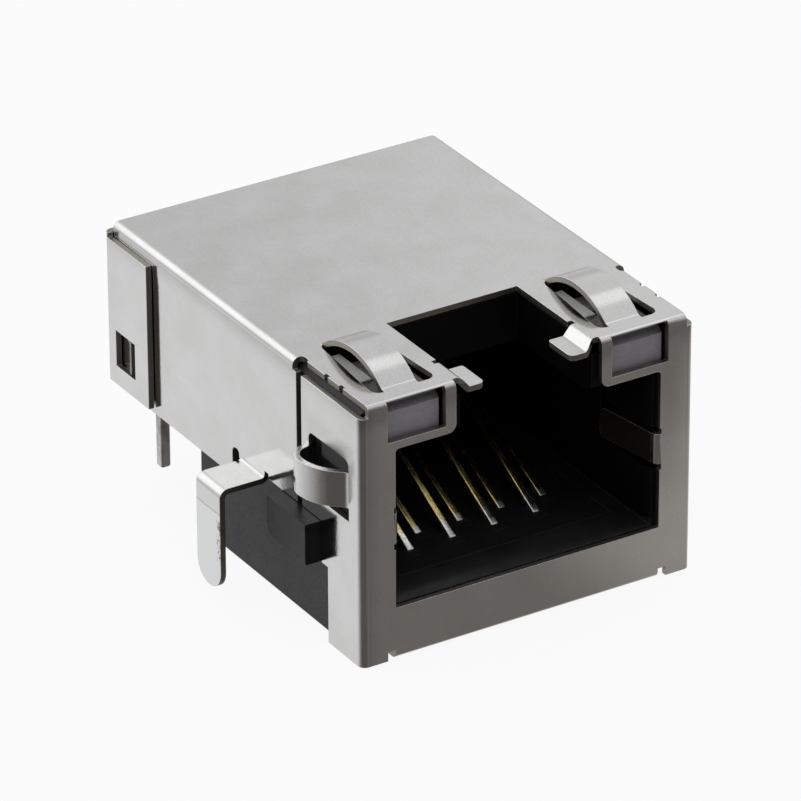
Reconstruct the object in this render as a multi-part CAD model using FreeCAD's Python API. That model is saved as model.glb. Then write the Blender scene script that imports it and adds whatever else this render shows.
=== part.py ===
import FreeCAD, Part
import math
import os

from FreeCAD import Vector

# A shielded modular jack that sinks into a cut-out of its board. X runs across
# the front face, Y from the front face to the rear, Z up. Lengths are in mm.

# Sheet of the shield
SHEET = 0.25            # thickness
BEND = 0.33             # outer radius of its bends
REAR_BEND = 0.42        # outer radius where the top turns down at the rear
FIT = 0.03              # clearance between pieces that sit in one another

# Across the front face, from the centre line outwards
LATCH_SLOT = 6.98       # slot for the plug's latch
STRUT = 0.49            # post between that slot and an indicator window
LAMP_WINDOW = 2.75      # indicator window
CHEEK = 1.27            # front face beyond the window
PORT_WIDE = 12.74       # port opening
PORT_ROUND = 0.18       # rounding of its upper corners
FRAME_ROUND = 0.38      # rounding where the latch slot opens into the port
WIDTH = LATCH_SLOT + 2 * (STRUT + LAMP_WINDOW + CHEEK)
HALF = WIDTH / 2

# Up the front face, from its lowest edge
SILL = 2.40             # below the port opening
PORT_HIGH = 7.30        # port opening
BRIDGE = 0.35           # bar between the port and an indicator window
LAMP_HEAD = 1.88        # from that bar to the top
PORT_TOP = SILL + PORT_HIGH
LAMP_SILL = PORT_TOP + BRIDGE
HEIGHT = LAMP_SILL + LAMP_HEAD

# From front to rear
SUNK = 13.30            # depth of the body that sinks through the board
SHELF = 6.88            # depth of the body that stands on the board
DEPTH = SUNK + SHELF
FLAP = 4.60             # length of the front flaps along the sides
SPLIT = 0.38            # gap between a front flap and the side plate behind it
SIDE_FRONT = FLAP + SPLIT

# Heights of the board's seat and of the shield's lower edges
SEAT = 3.60             # underside of the lugs, which rest on the board
SHELF_GAP = 0.70        # from the seat up to the rear body
SHELF_Z = SEAT + SHELF_GAP
LUG_HIGH = 1.85         # thickness of a lug
LUG_TOP = SEAT + LUG_HIGH
PLATE_FOOT = LUG_TOP + FIT

# Front face
CORNER_FOOT = 0.03      # the corners' feet above the folded lip
CORNER_NOTCH = 0.38     # width of the relief beside the folded lip
NOTCH_HIGH = 0.45       # height of that relief
LIP = 2.60              # length of the lip folded under the body
LIP_HALF = PORT_WIDE / 2
FLAP_DROP = 0.50        # from the top down to the flaps' upper edge
CORNER_OPEN = 0.38      # open strip between the top's edge and the flaps
TIE_PLACES = (2.10, 3.25)   # two small nicks in the top's side edge
TIE_WIDE = 0.28
TIE_DEEP = 0.13
BEND_RELIEF = 0.55      # rounded relief before the side plate's bend
LAMP_TURN = 52.0        # degrees of the top bend that an indicator window takes

# Top cut-out over the latch, and the two stepped tabs beside it
CUT_EDGE = 0.33         # its side edge inside the slot's edge
CUT_BACK = 5.90         # its rear edge
TAB_STEP = 0.43         # tabs lie this far below the top
TAB_EDGE = 0.09         # where a tab leaves the top, beyond the cut-out's edge
TAB_RUN = 0.35          # length of its slope
TAB_LONG = 1.20         # from its root to its free end
TAB_FRONT = 0.12
TAB_BACK = 1.83
TAB_RELIEF = 0.27       # notch behind the tab's root
TAB_CORNER = 0.26       # rounding of its front corner
CUT_WIDE = LATCH_SLOT - 2 * CUT_EDGE
TAB_ROOT = CUT_WIDE / 2 + TAB_EDGE
TAB_TIP = TAB_ROOT - TAB_LONG

# Sprung fingers on the top
FINGER_WIDE = 1.60
FINGER_SHIFT = 0.20     # both fingers sit this far to the left in their windows
FINGER_FRONT = 0.95     # where the arch leaves the top
FINGER_BACK = 5.85      # where it comes back
FINGER_RISE = 0.88
ARCH_ROOT = 0.30        # radius at an arch's roots
WINDOW_EDGE = 0.12      # window round the finger, beyond the finger's roots
WINDOW_SIDE = 0.68      # mean gap between window and finger at the front
WINDOW_TAPER = 0.36     # how much that gap narrows to the rear
WINDOW_ROUND = 0.42
LAMP_X = LATCH_SLOT / 2 + STRUT + LAMP_WINDOW / 2

# Sprung arch in each front flap
ARCH_LOW = 7.02
ARCH_WIDE = 1.60        # height of the strip
ARCH_FRONT = 0.95
ARCH_CREST = 3.10
ARCH_BACK = 4.35
ARCH_RISE = 1.12
ARCH_SLOT = 0.60        # gap below the strip
ARCH_GAP = 0.55         # window above the strip

# Flap below the arch
FLAP_STEP = 3.55        # height of the step in its rear edge
FLAP_SHORT = 2.62       # length of the flap below that step

# Board leg, folded out of each side plate
LEG_FRONT = 7.60
LEG_WIDE = 1.90
LEG_REACH = 2.15        # from the side plate to the leg's outer face
LEG_TOP = 5.38          # upper face of its flange
LEG_BEND = 0.42
LEG_TIP = 0.58
LEG_BACK = LEG_FRONT + LEG_WIDE
SLOT_IN = 0.15          # relief behind the leg
SLOT_WIDE = 0.55
SLOT_TOP = 5.72
NICK_WIDE = 0.30        # relief before the leg
NICK_HIGH = 0.22
LEG_ROOT = 1.00         # leg strip's overlap with the plate

# Back cover, folded down from the top, with flaps outside the side plates
COVER_GAP = 0.05        # gap between a cover flap and the side plate
COVER_FLAP = 3.55       # length of a cover flap
COVER_FOOT = 4.58
COVER_DROP = 0.65       # from the top down to the cover flaps
COVER_SHOULDER = 0.43   # from the top down to the cover's shoulders
COVER_NECK = 10.90      # width of the bend that carries the cover
PLATE_SHORT = 0.06      # side plates end this far before the cover
CATCH_LOW = 5.45        # window of a cover flap
CATCH_HIGH = 1.70
CATCH_WIDE = 1.60
CATCH_BACK = 0.85       # from the window's rear edge to the cover's rear face
LANCE_WIDE = 1.50       # height of the lance that catches in the window
LANCE_LONG = 1.15
LANCE_OUT = 0.30
LANCE_PLAY = 0.34       # from the window's front edge to the lance's tip

# Plug springs, folded in from the port's side edges
SPRING_LOW = 5.37
SPRING_WIDE = 1.38
SPRING_LONG = 3.40
SPRING_NOTCH = 0.28     # relief above and below its root
SPRING_NOTCH_IN = 0.08  # how far that relief cuts into the port's edge
SPRING_INSET = 0.17     # bend's distance inside the port edge
SPRING_LEAN = 0.55      # how far its end leans into the port
SPRING_ROUND = 0.30

# Housing
WALL_GAP = 0.47         # port's sheet edge to the cavity wall
FLOOR_GAP = 0.30        # sheet sill to the cavity floor
CEILING_GAP = 0.25      # cavity ceiling below the sheet's head
MOUTH = 0.48            # length of the chamfered mouth
MOUTH_LIP = 0.25        # how much of the wall gap the mouth takes
EDGE = 0.25             # chamfers along the housing's edges
CAVITY = PORT_WIDE / 2 - WALL_GAP
FLOOR = SILL + FLOOR_GAP
CEILING = PORT_TOP - CEILING_GAP
WALL = 0.70             # carrier's wall at the cavity's rear
STOP = SUNK - WALL
LUG_OUT = 1.04          # lug's reach beyond the housing's side
LUG_FRONT = 3.13
LUG_BACK = 6.20
LUG_ROUND = 0.60
NUB_IN = 1.25           # small feet under the rear body, behind the sunk one
NUB_LONG = 0.50
NUB_WIDE = 0.55
NUB_DROP = 0.30
HOUSE_HALF = HALF - SHEET - FIT
HOUSE_FRONT = SHEET + FIT
HOUSE_BACK = DEPTH - SHEET - FIT
HOUSE_FOOT = SHEET + FIT
HOUSE_TOP = HEIGHT - SHEET - FIT

# Indicators and their leads
LAMP_PLAY = 0.12        # each side, from the window's edge to the lens
LAMP_SET = 0.35         # lens face behind the front face
LAMP_LONG = 4.70
LAMP_LOW = 0.10         # lens below the window's sill
LAMP_CHAMFER = 0.28
LAMP_DIP = 1.90         # length of the lower part behind the lens face
LAMP_DIP_DEEP = 0.12
GROOVE_WIDE = 1.10      # groove along the raised rear part
GROOVE_DEEP = 0.55
CUP_WIDE = 0.80         # cup at the groove's front end
CUP_LONG = 1.20
CUP_DEEP = 1.10
LEAD = 0.46             # square wire
LEAD_PITCH = 2.54
LEAD_Z = 10.70
LEAD_IN = 1.73          # from the rear face to the middle of its upright
LEAD_TIP = 0.60
LEAD_BEND = 0.75        # outer radius of its bend
LEAD_PLAY = 0.05        # clearance in its groove
LEAD_BACK = DEPTH - LEAD_IN

# Contacts
CONTACTS = 8
PITCH = 1.02
WIRE_WIDE = 0.36
WIRE = 0.28             # thickness
WIRE_BEND = 0.45        # outer radius of its bends
EXIT_FRONT = 3.20       # where the front row comes out of the floor
EXIT_REAR = 4.25        # where the rear row comes out
RISE_FRONT = 24.2       # slope of the front row, degrees
RISE_REAR = 20.8        # slope of the rear row, degrees
WIRE_SHORT = 1.10       # from its free end to the cavity's rear wall
WIRE_FLOOR = 1.75       # run under the cavity floor
WIRE_OVER = 5.40        # run over the board
TAIL_IN = 1.90          # front row of tails behind the sunk body
TAIL_ROWS = 2.54        # between the two rows of tails
TAIL_TIP = 0.70
WIRE_PLAY = 0.06        # clearance of a contact in its channel
WIRE_END = STOP - WIRE_SHORT
WIRE_UP = STOP + (WALL - WIRE) / 2

# Contact carrier
CARRIER_HALF = CAVITY - 0.05
PLATE_EDGE = 1.02       # floor plate beyond the outer contacts' pitch
PLATE_FRONT = 1.72
PLATE_Z = 1.18
WALL_STEP = 0.50        # upper wall's rear face behind the sunk body
BLOCK_TOP = 6.60
COMB_LONG = 1.70
COMB_LOW = 4.20
COMB_HIGH = 7.20
RIB = 0.40
PLATE_HALF = CONTACTS / 2 * PITCH + PLATE_EDGE

FAR = 50.0              # reach of a cut that runs past the part
TOUCH = 1e-6            # points closer than this are one

PLANES = {
    "XY": (Vector(1, 0, 0), Vector(0, 1, 0), Vector(0, 0, 1)),
    "XZ": (Vector(1, 0, 0), Vector(0, 0, 1), Vector(0, 1, 0)),
    "YZ": (Vector(0, 1, 0), Vector(0, 0, 1), Vector(1, 0, 0)),
}


def spot(plane, u, v):
    """Point of a plane through the origin, from its two coordinates there."""
    across, up, _ = PLANES[plane]
    return across * u + up * v


def box(x, y, z):
    """Block between a low and a high limit on each axis."""
    corner = Vector(x[0], y[0], z[0])
    return Part.makeBox(x[1] - x[0], y[1] - y[0], z[1] - z[0], corner)


def both(shape):
    """The shape and its mirror image across the centre plane."""
    return [shape, shape.mirror(Vector(0, 0, 0), Vector(1, 0, 0))]


def both_sides(shapes):
    """Each shape of a list and its mirror image."""
    return [copy for shape in shapes for copy in both(shape)]


def corner_arc(before, corner, after, radius):
    """Start, middle and end of the arc that rounds a corner."""
    back = (before - corner).normalize()
    ahead = (after - corner).normalize()
    half = back.getAngle(ahead) / 2
    reach = radius / math.tan(half)
    middle = (back + ahead).normalize() * (radius / math.sin(half) - radius)
    return corner + back * reach, corner + middle, corner + ahead * reach


def rounded_wire(plane, points):
    """Closed wire on a plane through corners given as (u, v) or (u, v, radius)."""
    spots = [spot(plane, p[0], p[1]) for p in points]
    edges = []
    ends = []
    for i, point in enumerate(points):
        radius = point[2] if len(point) > 2 else 0
        if radius == 0:
            ends.append((spots[i], spots[i]))
            continue
        start, middle, end = corner_arc(spots[i - 1], spots[i], spots[(i + 1) % len(spots)], radius)
        edges.append(Part.Arc(start, middle, end).toShape())
        ends.append((start, end))
    for i, (start, end) in enumerate(ends):
        following = ends[(i + 1) % len(ends)][0]
        if (following - end).Length > TOUCH:
            edges.append(Part.LineSegment(end, following).toShape())
    return Part.Wire(Part.__sortEdges__(edges))


def stand(wire, plane, low, high):
    """Solid of a flat closed wire on a plane, drawn from low to high along its normal."""
    normal = PLANES[plane][2]
    face = Part.Face(wire)
    face.translate(normal * low)
    return face.extrude(normal * (high - low))


def prism(plane, points, low, high):
    """Solid of a 2D outline, drawn from low to high along the plane's normal."""
    return stand(rounded_wire(plane, points), plane, low, high)


def headings(path):
    """Unit vectors along the runs of a path."""
    spots = [Vector(u, v, 0) for u, v in path]
    return [(b - a).normalize() for a, b in zip(spots, spots[1:])]


def beside(path, distance):
    """Corners of a path moved to its left by a distance."""
    left = [Vector(-run.y, run.x, 0) for run in headings(path)]
    moved = []
    for i, (u, v) in enumerate(path):
        before = left[max(i - 1, 0)]
        after = left[min(i, len(left) - 1)]
        shift = (before + after) * (distance / (1 + before.dot(after)))
        moved.append((u + shift.x, v + shift.y))
    return moved


def strip(path, sheet, radius):
    """Outline of a folded strip: one face on the path, the other one sheet to its left."""
    runs = headings(path)
    near = beside(path, 0)
    far = beside(path, sheet)
    for i in range(1, len(path) - 1):
        turns_left = runs[i - 1].cross(runs[i]).z > 0
        near[i] += (radius if turns_left else radius - sheet,)
        far[i] += (radius - sheet if turns_left else radius,)
    return near + far[::-1]


def folded(plane, path, low, high, sheet=SHEET, radius=BEND):
    """Folded strip of sheet, drawn from low to high along the plane's normal."""
    return prism(plane, strip(path, sheet, radius), low, high)


def arch_side(root, crest, rise, drop):
    """Points of half an arch as (along, out) at a depth below its outer face."""
    run = abs(crest - root)
    sign = 1 if crest > root else -1
    turn = 2 * math.atan(rise / run)
    big = run / math.sin(turn) - ARCH_ROOT

    def low_arc(angle):
        reach = ARCH_ROOT + drop
        return root + sign * reach * math.sin(angle), ARCH_ROOT - reach * math.cos(angle)

    def high_arc(angle):
        reach = big - drop
        return crest - sign * reach * math.sin(angle), rise - big + reach * math.cos(angle)

    return [low_arc(0), low_arc(turn / 2), low_arc(turn), high_arc(turn / 2), high_arc(0)]


def arch_wire(plane, place, front, crest, back, rise):
    """Closed outline of a sprung arch: tangent arcs at its roots and crest, held ends."""
    edges = []
    ends = []
    for drop in (0, SHEET):
        for root, sign in ((front, -1), (back, 1)):
            points = arch_side(root, crest, rise, drop)
            points.append((root + sign * SHEET, -drop))
            spots = [spot(plane, *place(along, out)) for along, out in points]
            edges.append(Part.Arc(spots[0], spots[1], spots[2]).toShape())
            edges.append(Part.Arc(spots[2], spots[3], spots[4]).toShape())
            edges.append(Part.LineSegment(spots[0], spots[5]).toShape())
            ends.append(spots[5])
    for above, below in zip(ends[:2], ends[2:]):
        edges.append(Part.LineSegment(above, below).toShape())
    return Part.Wire(Part.__sortEdges__(edges))


def union(shapes):
    """One solid of shapes that meet, without the seams between them."""
    joined = shapes[0].fuse(shapes[1:])
    return joined.removeSplitter()


def top_and_front():
    """Sheet over the top's front part and down the front face."""
    path = [(SIDE_FRONT + BEND, HEIGHT), (0, HEIGHT), (0, SILL)]
    across = HALF - CORNER_OPEN
    return folded("YZ", path, -across, across)


def front_and_flaps():
    """Front face with the two flaps folded back along the sides."""
    path = [(-HALF, FLAP), (-HALF, 0), (HALF, 0), (HALF, FLAP)]
    return folded("XY", path, CORNER_FOOT, HEIGHT - FLAP_DROP)


def top_and_sides():
    """Top and side plates behind the front flaps."""
    path = [(HALF, SHELF_Z), (HALF, HEIGHT), (-HALF, HEIGHT), (-HALF, SHELF_Z)]
    return folded("XZ", path, SIDE_FRONT, DEPTH - SHEET - PLATE_SHORT)


def bottom_lip():
    """Lower edge of the front face, folded under the body."""
    path = [(0, SILL), (0, 0), (LIP, 0)]
    return folded("YZ", path, -LIP_HALF, LIP_HALF)


def back_cover():
    """Cover folded down at the rear, and its flaps outside the side plates."""
    neck = folded(
        "YZ",
        [(DEPTH, COVER_FOOT), (DEPTH, HEIGHT), (DEPTH - LIP, HEIGHT)],
        -COVER_NECK / 2,
        COVER_NECK / 2,
        radius=REAR_BEND,
    )
    outer = HALF + COVER_GAP + SHEET
    front = DEPTH - COVER_FLAP
    shoulder = HEIGHT - COVER_SHOULDER
    path = [(outer, front), (outer, DEPTH), (-outer, DEPTH), (-outer, front)]
    plate = folded("XY", path, COVER_FOOT, shoulder)
    above = box((-FAR, FAR), (0, DEPTH - BEND), (HEIGHT - COVER_DROP, FAR))
    return [neck, plate.cut(above)]


def front_cuts():
    """Port opening, latch slot, indicator windows and the reliefs of the lip."""
    through = (-FAR, SHEET + FIT)
    slot = LATCH_SLOT / 2
    half = PORT_WIDE / 2
    port = [
        (half, SILL),
        (half, PORT_TOP, PORT_ROUND),
        (slot, PORT_TOP, FRAME_ROUND),
        (slot, FAR),
        (-slot, FAR),
        (-slot, PORT_TOP, FRAME_ROUND),
        (-half, PORT_TOP, PORT_ROUND),
        (-half, SILL),
    ]
    opening = prism("XZ", port, -FAR, BEND)
    notch = LIP_HALF + CORNER_NOTCH
    relief = box((-notch, notch), (-FAR, FLAP), (-FAR, NOTCH_HIGH))
    turn = math.radians(LAMP_TURN)
    centre = HEIGHT - BEND
    side = [
        (-FAR, LAMP_SILL),
        (BEND, LAMP_SILL),
        (BEND, centre),
        (BEND - FAR * math.cos(turn), centre + FAR * math.sin(turn)),
    ]
    window = prism("YZ", side, slot + STRUT, slot + STRUT + LAMP_WINDOW)
    across = (0, half + SPRING_NOTCH_IN)
    root = SPRING_LOW + SPRING_WIDE
    notches = [
        box(across, through, (SPRING_LOW - SPRING_NOTCH, SPRING_LOW)),
        box(across, through, (root, root + SPRING_NOTCH)),
    ]
    return [opening, relief] + both_sides([window] + notches)


def top_cuts():
    """Cut-out over the latch, reliefs of the tabs and windows round the fingers."""
    half = CUT_WIDE / 2
    cuts = [
        box((-half, half), (0, CUT_BACK), (PORT_TOP, FAR)),
        box((-TAB_ROOT, TAB_ROOT), (0, TAB_BACK + TAB_RELIEF), (PORT_TOP, FAR)),
    ]
    relief = box(
        (half, TAB_ROOT + TAB_RELIEF / 2), (TAB_BACK, TAB_BACK + TAB_RELIEF), (PORT_TOP, FAR)
    )
    front = FINGER_WIDE / 2 + WINDOW_SIDE
    back = front - WINDOW_TAPER
    first = FINGER_FRONT - WINDOW_EDGE
    last = FINGER_BACK - WINDOW_EDGE
    window = prism(
        "XY",
        [
            (LAMP_X - front, first, WINDOW_ROUND),
            (LAMP_X + front, first, WINDOW_ROUND),
            (LAMP_X + back, last, WINDOW_ROUND),
            (LAMP_X - back, last, WINDOW_ROUND),
        ],
        HEIGHT - BEND,
        FAR,
    )
    edge = HALF - CORNER_OPEN
    start = SIDE_FRONT - BEND_RELIEF / 2
    corner = prism(
        "XY",
        [
            (edge - TIE_DEEP, start, BEND_RELIEF / 3),
            (FAR, start),
            (FAR, start + BEND_RELIEF),
            (edge - TIE_DEEP, start + BEND_RELIEF, BEND_RELIEF / 3),
        ],
        HEIGHT - FLAP_DROP,
        FAR,
    )
    ties = [
        box((edge - TIE_DEEP, FAR), (y - TIE_WIDE / 2, y + TIE_WIDE / 2), (HEIGHT - BEND, FAR))
        for y in TIE_PLACES
    ]
    return cuts + both_sides([relief, window, corner] + ties)


def side_cuts():
    """Lower edges of a side: the flap's step, the lug's gap and the leg's reliefs."""
    inner = HALF - SHEET - FIT
    flap = prism(
        "YZ",
        [
            (FLAP_SHORT, -FAR),
            (FLAP_SHORT, FLAP_STEP),
            (LUG_FRONT - FIT, FLAP_STEP),
            (LUG_FRONT - FIT, PLATE_FOOT),
            (SIDE_FRONT, PLATE_FOOT),
            (LEG_FRONT - NICK_WIDE, PLATE_FOOT),
            (LEG_FRONT - NICK_WIDE, PLATE_FOOT + NICK_HIGH),
            (LEG_FRONT, PLATE_FOOT + NICK_HIGH),
            (LEG_FRONT, LEG_TOP + LEG_ROOT),
            (LEG_BACK, LEG_TOP + LEG_ROOT),
            (LEG_BACK, LEG_TOP),
            (LEG_BACK + SLOT_IN, LEG_TOP),
            (LEG_BACK + SLOT_IN, SLOT_TOP, SLOT_WIDE / 3),
            (LEG_BACK + SLOT_IN + SLOT_WIDE, SLOT_TOP, SLOT_WIDE / 2),
            (LEG_BACK + SLOT_IN + SLOT_WIDE, -FAR),
        ],
        inner,
        FAR,
    )
    high = ARCH_LOW + ARCH_WIDE
    arch = prism(
        "YZ",
        [
            (ARCH_FRONT, ARCH_LOW - ARCH_SLOT),
            (ARCH_BACK - ARCH_ROOT, ARCH_LOW - ARCH_SLOT),
            (ARCH_BACK - ARCH_ROOT, high + ARCH_GAP, ARCH_ROOT),
            (ARCH_FRONT, high + ARCH_GAP, ARCH_ROOT),
        ],
        inner,
        FAR,
    )
    return [flap, arch]


def cover_cuts():
    """Window in each cover flap and the opening that its lance leaves."""
    last = DEPTH - CATCH_BACK
    first = last - CATCH_WIDE
    return box((HALF, FAR), (first, last), (CATCH_LOW, CATCH_LOW + CATCH_HIGH))


def lance():
    """Tongue lanced out of the side plate, and the opening it leaves there."""
    tip = DEPTH - CATCH_BACK - CATCH_WIDE + LANCE_PLAY
    root = tip + LANCE_LONG
    low = CATCH_LOW + (CATCH_HIGH - LANCE_WIDE) / 2
    path = [(HALF + LANCE_OUT, tip), (HALF, root), (HALF, root + SHEET)]
    tongue = folded("XY", path, low, low + LANCE_WIDE)
    hole = box((HALF - BEND, FAR), (tip - LANCE_PLAY, root), (low, low + LANCE_WIDE))
    return tongue, hole


def finger(centre):
    """Sprung finger: a strip arched up out of the top, about its centre line."""
    crest = (FINGER_FRONT + FINGER_BACK) / 2

    def place(along, out):
        return along, HEIGHT + out

    wire = arch_wire("YZ", place, FINGER_FRONT, crest, FINGER_BACK, FINGER_RISE)
    return stand(wire, "YZ", centre - FINGER_WIDE / 2, centre + FINGER_WIDE / 2)


def side_arch():
    """Sprung strip arched out of a front flap."""

    def place(along, out):
        return HALF + out, along

    wire = arch_wire("XY", place, ARCH_FRONT, ARCH_CREST, ARCH_BACK, ARCH_RISE)
    return stand(wire, "XY", ARCH_LOW, ARCH_LOW + ARCH_WIDE)


def leg():
    """Board leg: out of the side plate, over the board's edge and down."""
    outer = HALF + LEG_REACH
    path = [(outer, LEG_TIP), (outer, LEG_TOP), (HALF, LEG_TOP), (HALF, LEG_TOP + 2 * LEG_ROOT)]
    bent = folded("XZ", path, LEG_FRONT, LEG_BACK, radius=LEG_BEND)
    round_end = LEG_WIDE / 2 - FIT
    shape = prism(
        "YZ",
        [
            (LEG_FRONT, LEG_TIP, round_end),
            (LEG_BACK, LEG_TIP, round_end),
            (LEG_BACK, HEIGHT),
            (LEG_FRONT, HEIGHT),
        ],
        0,
        FAR,
    )
    return bent.common(shape)


def plug_spring():
    """Spring folded in from the port's side edge, leaning towards the plug."""
    bend = PORT_WIDE / 2 - SPRING_INSET
    path = [(bend - SPRING_LEAN, SPRING_LONG), (bend, 0), (PORT_WIDE / 2 + BEND, 0)]
    high = SPRING_LOW + SPRING_WIDE
    bent = folded("XY", path, SPRING_LOW, high)
    shape = prism(
        "YZ",
        [
            (0, SPRING_LOW),
            (SPRING_LONG, SPRING_LOW, SPRING_ROUND),
            (SPRING_LONG, high, SPRING_ROUND),
            (0, high),
        ],
        0,
        FAR,
    )
    return bent.common(shape)


def shield():
    """The whole shield: one folded sheet with its springs, legs and cover."""
    plates = [top_and_front(), front_and_flaps()]
    front = union(plates).cut(front_cuts())
    body = union([front, bottom_lip(), top_and_sides()] + back_cover())
    tongue, hole = lance()
    body = body.cut(top_cuts() + both_sides(side_cuts() + [cover_cuts()]))
    body = body.cut(both(hole))
    formed = [tab(), side_arch(), leg(), plug_spring(), tongue]
    fingers = [finger(side * LAMP_X - FINGER_SHIFT) for side in (-1, 1)]
    return union([body] + fingers + both_sides(formed))


def tab():
    """Stepped tab beside the latch cut-out."""
    low = HEIGHT - TAB_STEP
    path = [(TAB_TIP, low), (TAB_ROOT - TAB_RUN, low), (TAB_ROOT, HEIGHT), (TAB_ROOT + BEND, HEIGHT)]
    under = [(x, z - SHEET) for x, z in path]
    bent = folded("XZ", under, TAB_FRONT, TAB_BACK)
    shape = prism(
        "XY",
        [
            (TAB_TIP, TAB_FRONT, TAB_CORNER),
            (TAB_ROOT - TAB_RUN, TAB_FRONT),
            (TAB_ROOT, BEND),
            (TAB_ROOT + BEND, BEND),
            (TAB_ROOT + BEND, TAB_BACK),
            (TAB_TIP, TAB_BACK, TAB_CORNER / 2),
        ],
        0,
        FAR,
    )
    return bent.common(shape)


def lead_places():
    """Centres of the indicators' leads, on one side."""
    return [LAMP_X - LEAD_PITCH / 2, LAMP_X + LEAD_PITCH / 2]


def lens():
    """Indicator on one side: lens face, lower middle and a grooved, raised rear."""
    half = LAMP_WINDOW / 2 - LAMP_PLAY
    low = LAMP_SILL - LAMP_LOW
    high = HOUSE_TOP
    dip = LAMP_SET + LAMP_CHAMFER + LAMP_DIP
    back = LAMP_SET + LAMP_LONG
    side = [
        (LAMP_SET, low),
        (back, low),
        (back, high),
        (dip, high),
        (dip, high - LAMP_DIP_DEEP),
        (LAMP_SET + LAMP_CHAMFER, high - LAMP_DIP_DEEP),
        (LAMP_SET, high - LAMP_CHAMFER - LAMP_DIP_DEEP),
    ]
    body = prism("YZ", side, LAMP_X - half, LAMP_X + half)
    groove = box(
        (LAMP_X - GROOVE_WIDE / 2, LAMP_X + GROOVE_WIDE / 2), (dip, FAR), (high - GROOVE_DEEP, FAR)
    )
    cup = box(
        (LAMP_X - CUP_WIDE / 2, LAMP_X + CUP_WIDE / 2), (dip, dip + CUP_LONG), (high - CUP_DEEP, FAR)
    )
    return body.cut([groove, cup])


def lead(centre):
    """Square wire from an indicator, over the housing and down through the board."""
    path = [
        (LAMP_SET + LAMP_LONG, LEAD_Z + LEAD / 2),
        (LEAD_BACK + LEAD / 2, LEAD_Z + LEAD / 2),
        (LEAD_BACK + LEAD / 2, LEAD_TIP),
    ]
    under = [(y, z) for y, z in reversed(path)]
    return folded("YZ", under, centre - LEAD / 2, centre + LEAD / 2, LEAD, LEAD_BEND)


def contact_x(number):
    """Place of a contact across the jack, counted from the left."""
    return (number - (CONTACTS - 1) / 2) * PITCH


def contact_path(number):
    """Lower face of a contact: tail, run under the plug cavity and the sloping spring."""
    front_row = number % 2 == 0
    leave = EXIT_FRONT if front_row else EXIT_REAR
    slope = math.radians(RISE_FRONT if front_row else RISE_REAR)
    tail = SUNK + TAIL_IN + (0 if front_row else TAIL_ROWS)
    rise = (WIRE_END - leave) * math.tan(slope)
    return [
        (tail, TAIL_TIP),
        (tail, WIRE_OVER),
        (WIRE_UP, WIRE_OVER),
        (WIRE_UP, WIRE_FLOOR),
        (leave, WIRE_FLOOR),
        (leave, FLOOR + WIRE / 2),
        (WIRE_END, FLOOR + WIRE / 2 + rise),
    ]


def contact(number):
    """Sprung contact, bent from flat wire."""
    low = contact_x(number) - WIRE_WIDE / 2
    return folded("YZ", contact_path(number), low, low + WIRE_WIDE, WIRE, WIRE_BEND)


def channel(number):
    """Straight-cornered channel that holds a contact in the carrier."""
    path = contact_path(number)
    outline = beside(path, -WIRE_PLAY) + beside(path, WIRE + WIRE_PLAY)[::-1]
    half = WIRE_WIDE / 2 + WIRE_PLAY
    return prism("YZ", outline, contact_x(number) - half, contact_x(number) + half)


def housing_block():
    """Outer form of the housing: sunk body, rear body on the board, lugs and feet."""
    side = prism(
        "YZ",
        [
            (HOUSE_FRONT, HOUSE_FOOT + EDGE),
            (HOUSE_FRONT + EDGE, HOUSE_FOOT),
            (SUNK, HOUSE_FOOT),
            (SUNK, SHELF_Z),
            (HOUSE_BACK, SHELF_Z),
            (HOUSE_BACK, HOUSE_TOP - EDGE),
            (HOUSE_BACK - EDGE, HOUSE_TOP),
            (HOUSE_FRONT + EDGE, HOUSE_TOP),
            (HOUSE_FRONT, HOUSE_TOP - EDGE),
        ],
        -HOUSE_HALF,
        HOUSE_HALF,
    )
    front = prism(
        "XZ",
        [
            (-HOUSE_HALF, 0),
            (HOUSE_HALF, 0),
            (HOUSE_HALF, HOUSE_TOP - EDGE),
            (HOUSE_HALF - EDGE, HOUSE_TOP),
            (EDGE - HOUSE_HALF, HOUSE_TOP),
            (-HOUSE_HALF, HOUSE_TOP - EDGE),
        ],
        0,
        DEPTH,
    )
    above = prism(
        "XY",
        [
            (EDGE - HOUSE_HALF, HOUSE_FRONT),
            (HOUSE_HALF - EDGE, HOUSE_FRONT),
            (HOUSE_HALF, HOUSE_FRONT + EDGE),
            (HOUSE_HALF, HOUSE_BACK),
            (-HOUSE_HALF, HOUSE_BACK),
            (-HOUSE_HALF, HOUSE_FRONT + EDGE),
        ],
        0,
        HEIGHT,
    )
    lug = prism(
        "YZ",
        [
            (LUG_FRONT, SEAT),
            (LUG_BACK, SEAT, LUG_ROUND),
            (LUG_BACK, LUG_TOP),
            (LUG_FRONT, LUG_TOP),
        ],
        HOUSE_HALF - EDGE,
        HOUSE_HALF + LUG_OUT,
    )
    nub = box(
        (HOUSE_HALF - NUB_WIDE, HOUSE_HALF),
        (SUNK + NUB_IN, SUNK + NUB_IN + NUB_LONG),
        (SHELF_Z - NUB_DROP, SHELF_Z),
    )
    block = side.common(front).common(above)
    return union([block] + both_sides([lug, nub]))


def mouth():
    """Chamfered mouth of the plug cavity."""
    wires = []
    for y, grow in ((HOUSE_FRONT, MOUTH_LIP), (HOUSE_FRONT + MOUTH, 0)):
        half = CAVITY + grow
        corners = [
            Vector(-half, y, FLOOR - grow),
            Vector(half, y, FLOOR - grow),
            Vector(half, y, CEILING + grow),
            Vector(-half, y, CEILING + grow),
        ]
        wires.append(Part.makePolygon(corners + corners[:1]))
    return Part.makeLoft(wires, True)


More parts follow.
